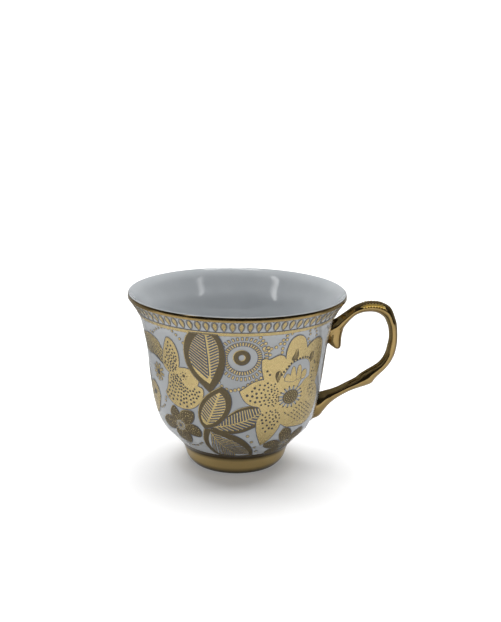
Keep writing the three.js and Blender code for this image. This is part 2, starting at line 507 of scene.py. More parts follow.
# The inside's copy of the glaze is painted 1.2 times lighter, as painted light for the light that falls
# into the cup.
porcelain_painted_lighter_inside = glazed_porcelain("glaze_inside_painted_lighter", 1.2, 0.3)
biscuit = bare_porcelain()
gold = bright_gold()
highlighted_strand_gilt = highlighted_rope_gilt()
satin_gold = foot_gold()
pale_gold = pale_print()
dark_gold = dark_print()
slate = keyline_ink()
black = spot_ink()


# ---------------------------------------------------------------- turned pieces
def lip_round(sweep, shrink=0.0):
    """The rounded lip as (radius, height), from its outer side up through an angle."""
    return [
        (
            RIM_RADIUS - LIP_WIDE + (LIP_WIDE - shrink) * math.cos(angle),
            HEIGHT - LIP_TALL + (LIP_TALL - shrink) * math.sin(angle),
        )
        for angle in np.linspace(0, sweep, 13)
    ]


def build_bowl():
    """The bowl with its floor, rounded lip and the glazed hollow under it. The inside has its own copy of
    the glaze, painted lighter: painted light that stands in for the light falling into the cup."""
    recess = [(0, 0.5), (9, 0.35), (14.5, 0.1), (RECESS_RADIUS, 0)]
    line = smooth_line([(radius, RECESS_DEPTH + rise) for radius, rise in recess], 1.0).tolist()
    line.append((FOOT_SEAT_RADIUS, RECESS_DEPTH))
    line += moved_in(smooth_line(BOWL_SIDE, 0.5), GILT_FILM)[1:-1].tolist()
    line += lip_round(LIP_SWEEP, GILT_FILM)
    outside_rings = len(line)
    line += smooth_line(INSIDE, 0.9)[1:].tolist()
    bowl = turned("bowl_body", line, porcelain)
    bowl.data.materials.append(porcelain_painted_lighter_inside)
    for face in bowl.data.polygons:
        face.material_index = int(face.index >= (outside_rings - 1) * ROUND_STEPS)
    return place(bowl, "glazed_porcelain", "bowl")


def build_foot():
    """The standing ring, flat and unglazed underneath, with a small chamfer inside."""
    outer = [(17.2, 0), (18.45, 0), (18.7, 0.12), (19.1, 0.6), (19.9, 1.5), (20.8, 2.9)]
    seat = [(FOOT_SEAT_RADIUS, RECESS_DEPTH), (RECESS_RADIUS, RECESS_DEPTH)]
    line = outer + seat + [(RECESS_RADIUS, 1.4), (16.75, 0.6)]
    return place(turned("foot_ring_body", line, biscuit), "bare_porcelain", "foot_ring")


def moved_in(line, depth):
    """A line on the cup's outside, run upwards, and moved into the wall by some millimetres."""
    line = np.asarray(line, float)
    along = np.gradient(line, axis=0)
    along /= np.linalg.norm(along, axis=1)[:, None]
    return line + np.stack([-along[:, 1], along[:, 0]], 1) * depth


def skin(name, line, material, thickness):
    """A turned film: a line on the cup's outside and the same line moved in."""
    return turned(name, np.vstack([line, moved_in(line, thickness)[::-1]]).tolist(), material)


def build_gilding():
    """The gold on the foot and the lowest part of the bowl, and the gold on the lip."""
    line = smooth_line(FOOT_SIDE, 0.4)[1:].tolist()
    line += [p for p in smooth_line(BOWL_SIDE, 0.3).tolist() if FOOT_TOP < p[1] < GILDING_TOP]
    foot = skin("foot_gilding_skin", line, satin_gold, FOOT_GILDING_THICKNESS)
    place(foot, "bright_gilding", "foot_gilding")
    rim = skin("rim_gilding_skin", lip_round(GILT_SWEEP), gold, RIM_GILDING_THICKNESS)
    place(rim, "bright_gilding", "rim_gilding")


build_bowl()
build_foot()
build_gilding()


# ---------------------------------------------------------------- the print
key, pale, dark, ink, window = (PrintLayer() for _ in range(5))
KEYLINE = 0.32
LIGHT_RIM_SHIFT = (-0.35, -0.12)


def beside(centre, right, down):
    """A point some true millimetres to the right of and below another on the unrolled wall."""
    return centre[0] + math.degrees(right / wall_radius(centre[1])), centre[1] + down


def on_ray(centre, turn, distance, wide=1.0, tall=1.0):
    """A point at some angle and distance from a centre, on a circle or an ellipse."""
    return beside(centre, wide * math.cos(turn) * distance, tall * math.sin(turn) * distance)


def ray(centre, turn, distances, wide=1.0, tall=1.0):
    """Points on a line straight out from a centre."""
    return [on_ray(centre, turn, distance, wide, tall) for distance in distances]


def turns(count, start=0.0):
    """Angles spread evenly round a circle. Start is a part of one step."""
    return [math.tau * (k + start) / count for k in range(count)]


def gold_shape(border, level):
    """A pale gold shape in its keyline."""
    key.patch(grown(border, KEYLINE), level)
    pale.patch(border, level + 1)


def dark_shape(border, level, hole=None):
    """A dark gold shape with a keyline, and a light rim where the pale gold under it peeps out."""
    key.patch(grown(border, KEYLINE), level)
    pale.patch(np.asarray(border) + LIGHT_RIM_SHIFT, level + 1)
    dark.patch(border, level + 2, hole)


def beads(points, radius=0.56):
    """Small round beads of pale gold, each with a thin keyline."""
    keyline, sides = 0.22, 14
    for point in points:
        key.dot(point, radius + keyline, 0, sides)
        pale.dot(point, radius, 1, sides)


def along_line(line, pitch):
    """Points spread evenly along a smooth line on the unrolled wall, with its direction at each."""
    flat = smooth_line(np.asarray(line, float) * (FLAT, 1), 0.05)
    run = np.concatenate([[0], np.cumsum(np.hypot(*np.diff(flat, axis=0).T))])
    for s in np.arange(pitch / 2, run[-1], pitch):
        k = min(np.searchsorted(run, s), len(flat) - 2)
        yield flat[k], (flat[k + 1] - flat[k]) / np.linalg.norm(flat[k + 1] - flat[k])


def oval(centre, wide, tall=None):
    """The outline of a circle, or of an ellipse, that measures true on the cup."""
    tall = tall or wide
    step = 0.6
    count = max(12, math.ceil(math.tau * max(wide, tall) / step))
    return np.array([on_ray(centre, turn, 1, wide, tall) for turn in turns(count)])


def dashes_around(centre, radius, length, count, width):
    """A ring of short radial dashes, a little wider than it is tall."""
    for turn in turns(count):
        for layer, extra, level in ((key, 0.24, 0), (pale, 0.0, 1)):
            half = length / 2 + extra
            ends = ray(centre, turn, (radius - half, radius, radius + half), wide=1.06)
            layer.stroke(ends, width + 2 * extra, level)


def rows_of_spots(centre, region, low, high, level, rows=46):
    """Spots in rows that spread from a flower's middle, larger and further apart outwards."""
    furthest = 24.0
    border = grown(region, -high)
    chance = random.Random(rows)
    for row in range(rows):
        distance = 3.0 + 0.9 * (row % 2)
        while distance < furthest:
            turn = math.tau * (row + chance.uniform(-0.2, 0.2)) / rows
            spot = on_ray(centre, turn, distance)
            radius = low + (high - low) * distance / furthest * chance.uniform(0.8, 1.2)
            wide_enough = math.tau * distance / rows > 1.5 * radius or row % 2
            if wide_enough and inside_outline(spot, border)[0]:
                ink.dot(spot, radius, level)
            distance += 1.1 + 0.055 * distance


def spots(layer, region, pitch, low, high, level, seed):
    """Spots of uneven size scattered over a region on a jittered grid."""
    chance = random.Random(seed)
    border = grown(region, -high)
    (x0, y0), (x1, y1) = border.min(0), border.max(0)
    for row, y in enumerate(np.arange(y0, y1, pitch * 0.87)):
        for x in np.arange(x0 + (row % 2) * pitch / 2 / FLAT, x1, pitch / FLAT):
            jitter = 0.3 * pitch
            spot = (x + chance.uniform(-jitter, jitter) / FLAT, y + chance.uniform(-jitter, jitter))
            radius = chance.uniform(low, high)
            if inside_outline(spot, border)[0]:
                layer.dot(spot, radius, level, sides=9)


def reach(start, direction, border):
    """How far a line runs from a point inside a border before it leaves it, in millimetres."""
    limit = 12.0
    steps = np.arange(0.2, limit, 0.15)
    trail = np.asarray(start) * (FLAT, 1) + steps[:, None] * direction
    inside = inside_outline(trail / (FLAT, 1), border)
    return steps[np.argmin(inside)] if not inside.all() else limit


def ribs(vein, border, side, pitch, lean, width, layer, level, start=0.2):
    """Parallel ribs from a leaf's vein to its edge. Side is 1 for the right of the vein, seen from
    its start, and -1 for the left; lean is each rib's angle from the vein, in degrees."""
    turn = math.radians(lean) * side
    turned_by = np.array([[math.cos(turn), math.sin(turn)], [-math.sin(turn), math.cos(turn)]])
    for root, along in along_line(vein, pitch):
        direction = along @ turned_by
        length = reach(root / (FLAT, 1), direction, border) - 0.1
        if length > start + 0.5:
            ends = [root + direction * r for r in (start, (start + length) / 2, length)]
            layer.stroke(np.array(ends) / (FLAT, 1), width, level)


def leaf(outer, inner, level, ground=None):
    """A dark gold leaf outline with a light rim, and its inside laid in one colour."""
    dark_shape(outer, level, hole=inner)
    (ground or window).patch(grown(inner, 0.05), level + 2)


def great_leaf():
    """The large leaf that hangs from the lower gilt line."""
    level = 5
    outer = outline(
        [(-29.6, 4), (-31.4, 9), (-31, 13.8), (-28.2, 17.6), (-23.2, 21.2), (-15.9, 25.7)],
        [(-12, 22.2), (-8.8, 18.6), (-6.9, 14.2), (-6.6, 9.6), (-8, 4.6), (-10.4, 0.5)],
        [(-18, 0.4), (-26.2, 0.5)],
    )
    inner = outline(
        [(-25, 4.4), (-28, 9.4), (-27.9, 13), (-25.8, 16.4), (-21.3, 19.6), (-16, 21.9)],
        [(-12.9, 17.4), (-10.4, 12.6), (-10.2, 7.4), (-11.8, 3), (-14, 0.7)],
        [(-17.5, 0.6), (-21, 0.7)],
    )
    vein = [(-16.5, 20.6), (-16.6, 15), (-17, 8), (-17.6, 0.9)]
    leaf(outer, inner, level, pale)
    ribs(vein, inner, -1, 1.4, 50, 0.7, key, level + 3, start=0.5)
    ribs(vein, inner, 1, 1.18, 62, 0.62, key, level + 3, start=1)
    key.stroke([(-16.6, 18.6), (-16.8, 12), (-17.3, 5.5), (-17.7, 0.9)], 0.5, level + 4)


def middle_leaf():
    """The leaf that leans left, between the great leaf and the lower leaf."""
    level = 5
    outer = outline(
        [(-15, 25.3), (-20.2, 28.3), (-23.3, 31.8), (-24.4, 35.4), (-23.8, 38.8), (-21.2, 41.6)],
        [(-15.4, 40.8), (-9.6, 38.2), (-5.2, 34.6), (-3.1, 30.8), (-3.2, 27.4), (-5.4, 24.6), (-9.2, 22.9)],
    )
    inner = outline(
        [(-15, 27.4), (-18.8, 30), (-21.6, 33.2), (-22.7, 36.2), (-21.8, 38.8), (-19.3, 40)],
        [(-14.2, 38.6), (-9.8, 35.9), (-7.2, 33), (-6.5, 30), (-7.6, 27.2), (-10.2, 25.3)],
    )
    vein = [(-18.9, 39.4), (-16.4, 36), (-13.6, 31.6), (-10.6, 26.4)]
    leaf(outer, inner, level, pale)
    ribs(vein, inner, -1, 1.2, 62, 0.52, key, level + 3, start=0.45)
    ribs(vein, inner, 1, 1.3, 55, 0.52, key, level + 3, start=0.45)


def right_leaf():
    """The leaf that reaches to the right and passes under the great flower."""
    level = 1
    outer = outline(
        [(-11, 38.4), (-5, 35.2), (0.5, 32.7), (6, 31.4), (12, 31), (20, 31.6)],
        [(18.5, 36.5), (14, 39.7), (9.5, 41.2), (4, 42.6), (-3, 43.3), (-10, 43), (-17.5, 41.4)],
    )
    inner = outline(
        [(-9, 37.6), (-3.5, 35.2), (1.5, 33.4), (7, 32.4), (13, 32.1), (18.5, 32.6)],
        [(17, 36.2), (13, 38.6), (8, 40.2), (2, 41.6), (-5, 42.1), (-11, 41.8), (-15.2, 40.6)],
    )
    vein = [(-14.6, 40.7), (-6, 39.6), (2, 38.2), (9, 36.5), (16.8, 33.6)]
    leaf(outer, inner, level, key)
    ribs(vein, inner, -1, 1.2, 78, 0.44, pale, level + 3)
    ribs(vein, inner, 1, 1.75, 40, 0.46, pale, level + 3)
    pale.stroke(vein, 0.5, level + 4, taper=0.5)


def lower_leaf():
    """The leaf that turns down towards the foot."""
    level = 0
    outer = outline(
        [(-22.6, 46), (-22.6, 51), (-21.2, 55.4), (-17.6, 58.4), (-10, 59.5), (2, 59.9), (12, 60.2),
         (15.6, 59.2)],
        [(13.6, 54.6), (10.2, 50.4), (5.6, 46.9), (0, 44.6), (-6.5, 43.2), (-14, 42.2), (-21, 41.6)],
    )
    inner = outline(
        [(-18.8, 46), (-19.2, 50), (-18.2, 54), (-15.2, 57.2), (-9, 58.4), (2, 58.8), (12.4, 58.6)],
        [(10.2, 55.2), (6, 51.4), (0.2, 47.9), (-6, 45.8), (-12, 44.3), (-17, 42.9)],
    )
    vein = [(-17, 43.2), (-13.6, 46.6), (-9.6, 50), (-5.4, 53.6), (0, 57.6)]
    leaf(outer, inner, level)
    for side, pitch, lean, wide, ground in ((1, 1.75, 36, 0.4, 0.95), (-1, 1.5, 45, 0.44, 1)):
        ribs(vein, inner, side, pitch, lean, ground, key, level + 3)
        ribs(vein, inner, side, pitch, lean, wide, pale, level + 4)
    key.stroke(vein, 0.8, level + 5)
    pale.stroke(vein, 0.55, level + 6)


def sunburst():
    """A dark ring inside two rings of dashes, with a row of beads below it."""
    centre = (2.9, 10.4)
    key.ring(centre, 1.15, 3.4, 0)
    pale.ring((centre[0] + LIGHT_RIM_SHIFT[0], centre[1] + LIGHT_RIM_SHIFT[1]), 1.3, 3.25, 1)
    dark.ring(centre, 1.42, 3.15, 2)
    dashes_around((3.4, 10.8), 6.3, 1.35, 40, 0.46)
    dashes_around((3.4, 10.8), 8.7, 1.25, 35, 0.5)
    beads([(-10.5, 21), (-8.8, 22.6), (-6, 23.8), (-3.3, 24.4), (-0.8, 24.1), (1.4, 23.7), (4.2, 23.1),
           (7, 21.9), (9.5, 21), (12, 20), (14.6, 19.2)])


def loose_beads():
    """Beads that fill the ground between the flowers."""
    beads([(12.6, 1.7), (14.2, 3.2), (15.9, 4.6), (17.7, 6.5), (19.6, 7.1), (18.4, 8), (19.2, 9.7),
           (15.2, 7)])
    beads([(22.4, 6.6), (24.7, 5.3), (27.3, 5.5), (26.3, 3.8), (28.6, 3.8), (28.2, 2), (26.6, 7.5),
           (26.7, 9.2)])
    beads([(31, 1.4), (44, 1.8), (45.2, 3.4), (44.6, 5.4), (46.2, 7), (48.6, 1.6), (50.6, 3),
           (51.6, 4.8)], 0.44)
    beads([(-31.6, 6.1), (-33.5, 4.6), (-35.6, 3.1), (-37.7, 1.7), (-40.3, 0.9), (-43.2, 0.8)], 0.46)
    beads([(-46, 1.2), (-48.8, 2), (-51.7, 3), (-54.4, 4.1), (-57, 5.3), (-60, 5.4)], 0.42)
    beads([(8, 44.7), (11.2, 48), (14.6, 52), (17.5, 56)], 0.52)
    beads([(-25.8, 50.3), (-28, 51.7), (-31.5, 53.4), (-33.4, 54), (-37, 54.5), (-39, 54.8),
           (-43, 54.9)], 0.42)
    beads([(-51.8, 32.4), (-52.6, 34), (-55, 36.4), (-57.4, 37.6), (-60.6, 38.4)], 0.42)
    beads([(64.6, 3.4), (67, 4.6), (69.4, 3.4), (66.4, 47.6), (69.4, 49.8), (72.8, 51.4), (76.6, 52)], 0.42)


def spotted_flower():
    """The spotted pale flower left of the great leaf, and the streaked petal beyond it."""
    level = 2
    streaked = outline(
        [(-55, 16.6), (-61, 15.4), (-68, 15.6), (-75, 15), (-79.5, 12), (-78, 9), (-71, 7.3),
         (-63, 6.6), (-57, 7.1), (-52.6, 8.6), (-49.8, 12)],
        [(-46, 15), (-50.4, 18)],
    )
    gold_shape(streaked, 0)
    for k in range(10):
        y, width = 8.0 + 0.9 * k, 0.2 + 0.075 * k
        for x in np.arange(-77 + 1.7 * (k % 2), -49, 3.4):
            if inside_outline((x, y), grown(streaked, -0.4))[0]:
                ink.stroke([(x - 0.9, y - 0.2), (x, y), (x + 0.9, y + 0.2)], width, 2, taper=0.5)
    ink.stroke([(-51, 17.6), (-55.2, 16.3), (-61, 15.1), (-67.6, 15.2)], 0.5, 2, taper=0.3)
    petals = outline(
        [(-36.3, 14), (-36.7, 10.6), (-38.3, 7.4), (-40.8, 5.6), (-43.6, 5.3), (-45.6, 7.3),
         (-47.8, 10.2), (-49.6, 13.2), (-50.7, 16.2), (-49.8, 18.4), (-47.6, 19.8), (-45.2, 20.4)],
        [(-46.6, 22.6), (-47.1, 25.2), (-48.5, 27.7), (-50.8, 29.8)],
        [(-48.2, 31.9), (-43.4, 33.8), (-37.4, 34.6), (-31, 34.2), (-26, 32.6), (-22.3, 29.8),
         (-20.5, 27), (-20.9, 24.6), (-24.2, 23.7)],
        [(-23.2, 21.8), (-23, 20), (-25.4, 18.1), (-28.6, 17.2), (-32.6, 17), (-37, 17.3)],
    )
    gold_shape(petals, level)
    spotted = [
        outline([(-43.4, 6.2), (-38.2, 8.6), (-37.2, 14), (-38, 19), (-45, 20.8), (-50, 16)]),
        outline([(-45.4, 20.8), (-38.5, 19.4), (-34.4, 21.6), (-32, 24.2), (-25, 24.2), (-21.4, 25.4),
                 (-24, 30), (-30.4, 33.6), (-38, 34.2), (-46, 32.2), (-50, 29.8), (-46.6, 25)]),
    ]
    for region in spotted:
        rows_of_spots((-33.5, 18.6), region, 0.34, 0.62, level + 2)
    ring_centre = (-33.5, 20.4)
    for turn in turns(7):
        ink.dot(on_ray(ring_centre, turn, 1.5), 0.26, level + 2)
    dark.dot(ring_centre, 0.7, level + 2)


def daisy(centre):
    """A small open flower: thin rays about a dark middle."""
    for turn in turns(9, 0.3):
        for layer, extra, level in ((key, 0.2, 0), (pale, 0, 1)):
            ends = ray(centre, turn, (1.2 - extra, 2.5, 3.8 + extra))
            layer.stroke(ends, 0.95 + 2 * extra, level)
    key.patch(oval(centre, 1.2), 1)
    for turn in turns(6):
        ink.dot(on_ray(centre, turn, 0.7), 0.24, 3, sides=8)


def side_flower():
    """The pale flower that turns round the cup's side away from the handle."""
    petals = outline(
        [(-60.8, 30), (-65, 28), (-70, 28), (-75, 30.4)],
        [(-77, 26.4), (-82, 23.6), (-88, 24.6), (-92, 28.2)],
        [(-97.5, 28.4), (-102, 32.4), (-101, 37), (-96.5, 39.6)],
        [(-95, 43.6), (-90, 46.8), (-84, 46), (-81, 42.4)],
        [(-76, 43.4), (-69, 42), (-62.8, 38), (-59, 33.2)],
    )
    gold_shape(petals, 1)
    middle = (-84, 35)
    dark.patch(oval(middle, 2.2), 3)
    for turn in turns(14):
        ink.stroke(ray(middle, turn, (2.5, 3.3, 4.1)), 0.3, 3)
        ink.dot(on_ray(middle, turn, 4.5), 0.32, 3, sides=8)
    ink.patch(outline([(-70.5, 33.6), (-67.6, 31.6), (-64.6, 32.2), (-66.6, 33.8)], step=0.5), 3)


def dark_flower(petals, centre, level):
    """A dark five-petalled flower, its petals stippled with pale gold."""
    for k, points in enumerate(petals):
        petal = outline(points)
        dark_shape(petal, level)
        spots(pale, grown(petal, -0.2), 1.1, 0.12, 0.24, level + 3, seed=20 + k)
    window.patch(oval(centre, 2.3), level + 3)
    for k, turn in enumerate(turns(14, 0.5)):
        tip = 4.2 if k % 2 else 2.9
        ends = ray(centre, turn, (0.8, tip / 2 + 0.4, tip))
        key.stroke(ends, 0.5, level + 4, taper=0.3)
        pale.stroke(ends, 0.3, level + 5, taper=0.3)
    key.patch(oval(centre, 0.9), level + 5)


def left_dark_flower():
    """The dark flower left of the lower leaf."""
    dark_flower([
        [(-48.6, 38.8), (-47, 36), (-44.6, 34.8), (-42.2, 35.6), (-40.2, 37.4), (-39.6, 40.6),
         (-41.4, 42), (-45, 41.4)],
        [(-39.4, 37.6), (-36.6, 35.8), (-32, 35.2), (-28.4, 35.6), (-28.3, 38), (-30.4, 40.4),
         (-34.4, 41.6), (-38.4, 41.8)],
        [(-37.6, 43), (-34.6, 41.8), (-30.6, 41.3), (-26.6, 41.9), (-24, 44), (-25, 46.4),
         (-29.4, 46.7), (-34, 45.9)],
        [(-44.6, 45), (-40.6, 44.2), (-36.4, 44.8), (-33.2, 47), (-34.4, 50.4), (-38, 52.6),
         (-42.4, 51.9), (-46.2, 49.4), (-46.6, 46.6)],
        [(-59, 43.8), (-56, 41.4), (-51, 40.2), (-46, 40.3), (-43, 42.2), (-44.8, 44.6), (-49, 45.9),
         (-54.6, 46)],
    ], (-40.6, 42.9), 1)


def right_dark_flower():
    """The dark flower below the great flower."""
    dark_flower([
        [(31.8, 46.2), (33.4, 43.9), (36.2, 43.1), (40, 44.1), (42.8, 46.4), (42.4, 49.6), (39, 51.4),
         (34.2, 49.4)],
        [(43.4, 50.4), (45, 47.4), (50, 45.9), (55, 46), (57.6, 48.4), (55, 51.2), (49, 52.4)],
        [(45, 53.4), (50, 53.2), (55, 55), (55, 58), (49, 58.6), (44.6, 56.6)],
        [(32, 55.6), (37, 54), (42, 55.2), (43.6, 58), (38, 60.4), (29, 60), (27.6, 57.6)],
        [(21.2, 50.6), (25, 49), (30, 48.8), (35, 50.4), (38.2, 52.8), (34.4, 54.6), (28, 54.8),
         (23.6, 53.2)],
    ], (41, 52.6), 1)


def great_flower():
    """The large pale flower on the right, with a seed head, stamens and an arc of dots."""
    level = 4
    petals = outline(
        [(15.4, 17), (14.8, 14.2), (14.6, 11.8)],
        [(16.8, 11.2), (19.2, 11.8), (22.2, 11), (25.4, 10.3), (28.2, 10.9), (30, 12.4)],
        [(29.8, 9.2), (30.8, 6), (32.6, 3.7), (35.4, 2.8), (38.6, 3.1), (41.4, 4.5), (43.4, 6.7),
         (44.8, 9.3)],
        [(47.4, 7.6), (51, 6.4), (55, 6.2), (59, 7.6), (62, 10.6), (63.4, 15), (62.4, 20.4), (59.6, 26.6)],
        [(63.4, 29.4), (65.4, 33.8), (64.6, 38.4), (61, 42), (55, 43.6), (48, 43.6), (41, 43),
         (35.4, 42.3), (30.4, 40.3)],
        [(29.2, 42.4), (26.4, 45.2), (22.6, 48.2), (18.5, 50.6)],
        [(16.4, 47.8), (14.4, 44.4), (13.3, 40.8), (13.6, 37.2), (16.4, 34.4)],
        [(14, 31.6), (10.4, 31), (7, 29.8), (4.2, 27.8), (2, 24.7)],
        [(5.4, 23.1), (9.4, 21.3), (13, 20.4), (16.6, 20.1)],
    )
    gold_shape(petals, level)
    opening = outline(
        [(31.4, 17.5), (34.4, 15.2), (38.2, 14.1), (42.6, 13.9), (47, 14.6), (49.8, 16.6)],
        [(50.6, 19.4), (50.6, 22)],
        [(46.4, 23), (43, 25), (40.6, 25.9)],
        [(42.6, 23.6), (44.4, 22), (41, 20.8), (37, 21.6), (33, 21.2), (29.2, 19.8)],
    )
    key.patch(grown(opening, 0.2), level + 2)
    window.patch(opening, level + 3)
    stamens = [
        [(30.6, 21.6), (31, 19.4), (32.6, 18.9), (34.2, 20), (35, 22.2)],
        [(34.4, 22.2), (34.7, 18.2), (35.8, 16.2), (37.2, 16.8), (38.2, 19.2), (38.8, 22)],
        [(39.2, 21.6), (39.3, 17.8), (40.3, 16.1), (41.8, 16.4), (42.7, 18.3), (42.4, 21.6)],
        [(43.2, 22), (43.6, 19.4), (45.2, 18.5), (47, 18.9), (47.7, 20.5), (46, 22.2)],
    ]
    for stamen in stamens:
        shape = outline(stamen, step=0.5)
        key.patch(grown(shape, 0.2), level + 4)
        pale.patch(shape, level + 5)
    arc = [(27.2, 19.4), (29.4, 17.6), (31.4, 16.4), (33.2, 15.1), (35.2, 14.2), (38.4, 13.6),
           (42.6, 13.2), (46.2, 13.4), (49.4, 14.4)]
    for point, _ in along_line(arc, 1.42):
        ink.dot(point / (FLAT, 1), 0.46, level + 4)
    wedges = [
        [(23.6, 19), (24.4, 17.4), (26.6, 17), (28, 18.4), (27.2, 20), (25.6, 21.9), (24.4, 20.8)],
        [(36.9, 8.5), (38.3, 10.2), (38.7, 12.2), (37.4, 13.4), (34.6, 13.5), (34, 12.5), (35.3, 10.9)],
        [(49.4, 12.7), (51.4, 11.7), (52.8, 12.4), (52, 14.8), (50.8, 16.3), (49.6, 14.8)],
    ]
    for wedge in wedges:
        shape = outline(wedge, step=0.5)
        dark.patch(shape, level + 4)
        top = min(wedge, key=lambda p: p[1])
        for k in (-1, 0, 1):
            foot_point = (np.mean([p[0] for p in wedge]) + 1.1 * k, max(p[1] for p in wedge) - 0.7)
            pale.stroke([top, np.mean([top, foot_point], axis=0), foot_point], 0.14, level + 5)
    seed_head((36, 29), level + 2)
    spotted = [
        outline([(17.4, 20.6), (24, 21.6), (27.6, 24.4), (28, 30), (24, 33), (16, 31.6), (8, 29.6),
                 (5, 26.4), (10, 22.2)]),
        outline([(17, 33.6), (25, 32.8), (29.4, 35.4), (30.2, 39.6), (27, 42.4), (20.4, 44.4),
                 (15, 40.6), (14.6, 36.8)]),
        outline([(16, 15.6), (20.6, 14.8), (22.6, 17.6), (21.6, 20.4), (17.6, 19.4)]),
    ]
    for region in spotted:
        rows_of_spots((36, 29), region, 0.22, 0.62, level + 2, rows=52)
    spots(ink, outline([(51.6, 14), (55.4, 13.2), (58, 18), (57.6, 25), (60.4, 31), (56, 33.4),
                        (51, 29.4), (52.4, 22)]), 1.7, 0.28, 0.46, level + 2, seed=50)
    streaks = outline([(41, 35.2), (47, 32.6), (53, 34.2), (58.6, 36.8), (58, 40.4), (52, 41.4),
                       (45.4, 41.6), (38, 40.6), (31.8, 38.4), (32, 35.8)])
    for k in range(7):
        for x in np.arange(30 + 1.3 * (k % 3), 62, 3.1):
            y = 24.6 + 1.65 * k + 0.42 * (x - 30)
            if inside_outline((x, y), streaks)[0]:
                ink.stroke([(x - 0.9, y - 0.4), (x, y), (x + 0.9, y + 0.45)], 0.46, level + 2, taper=0.4)


def seed_head(centre, level):
    """A plain flower middle: a dark oval of seeds in a ring of stamens with round tips."""
    wide, tall = 3.7, 2.9
    for turn in turns(16, 0.5):
        ends = ray(centre, turn, (0.95, 1.2, 1.45), wide, tall)
        window.stroke(ends, 0.95, level)
        key.stroke(ends, 0.26, level + 1)
        ink.dot(on_ray(centre, turn, 1.56, wide, tall), 0.36, level + 1)
    key.patch(oval(centre, wide + 0.2, tall + 0.2), level + 1)
    dark.patch(oval(centre, wide, tall), level + 2)
    for ring, count in ((0.28, 6), (0.56, 12), (0.83, 18)):
        for turn in turns(count):
            pale.dot(on_ray(centre, turn, ring, wide, tall), 0.2, level + 3)


def handle_side_leaf():
    """The narrow dark leaf beside the handle."""
    dark_shape(outline(
        [(75.4, 15), (73.6, 20), (73.4, 25), (75, 29.6)],
        [(77.4, 25), (78.8, 20), (79.2, 15), (78, 11)],
    ), 0)
    pale.stroke([(78, 12.4), (76.6, 17), (75.8, 22), (75.1, 28.4)], 0.25, 3)


def band(top, bottom, level, layer):
    """A printed line all the way round the cup."""
    count = 240
    turn = np.arange(count) * 360 / count
    points = np.vstack([np.stack([turn, np.full(count, y)], 1) for y in (top, bottom)])
    first = (0, 1, count + 1, count)
    forward = clockwise(first, points) == first
    faces = quads_around(2, count)
    layer.add(points, faces if forward else [face[::-1] for face in faces], level)


def spindle(x, top, bottom, half_width):
    """A pointed oval standing on the unrolled wall, widest a little above its middle."""
    half = math.degrees(half_width / wall_radius((top + bottom) / 2))
    waist = top + 0.45 * (bottom - top)
    return outline(
        [(x + 0.75 * half, top + 0.2 * (bottom - top)), (x + half, waist),
         (x + 0.66 * half, top + 0.76 * (bottom - top)), (x, bottom)],
        [(x - 0.66 * half, top + 0.76 * (bottom - top)), (x - half, waist),
         (x - 0.75 * half, top + 0.2 * (bottom - top)), (x, top)],
    )


def border():
    """The band below the lip: pointed gold ovals, each edged in slate inside a fine dark ring,
    between two gold lines."""
    ovals = 82
    for k in range(ovals):
        x = 2.2 + 360 * k / ovals
        dark_border.patch(spindle(x, -6.75, -0.75, 1.42), 0, hole=spindle(x, -6.5, -0.95, 1.24))
        key_border.patch(spindle(x, -6.3, -1.15, 1.12), 0)
        pale_border.patch(spindle(x, -5.95, -1.45, 0.82), 1)
        key_border.dot((x + 180 / ovals, -6.15), 0.26, 0)
    for top, bottom in ((-7.3, -6.45), (-0.6, 0.9)):
        band(top - 0.35, bottom + 0.1, 1, key_border)
        band(top, bottom, 2, pale_border)


for turn in (0, 180):
    PrintLayer.turn = turn
    sunburst()
    loose_beads()
    lower_leaf()
    right_leaf()
    middle_leaf()
    great_leaf()
    spotted_flower()
    daisy((-57.5, 22.2))
    left_dark_flower()
    right_dark_flower()
    great_flower()
    handle_side_leaf()
    if turn == 0:
        side_flower()
PrintLayer.turn = 0

for layer, name, material in (
    (key, "print_keylines", slate), (pale, "print_pale_gold", pale_gold),
    (dark, "print_dark_gold", dark_gold),
    (ink, "print_spots", black), (window, "print_open_glaze", porcelain),
):
    place(layer.to_object(name, material), "printed_gold", "floral_transfer")

key_border, pale_border, dark_border = (PrintLayer() for _ in range(3))
border()
for layer, name, material in (
    (key_border, "border_keylines", slate), (pale_border, "border_pale_gold", pale_gold),
    (dark_border, "border_dark_gold", dark_gold),
):
    place(layer.to_object(name, material), "printed_gold", "border_transfer")


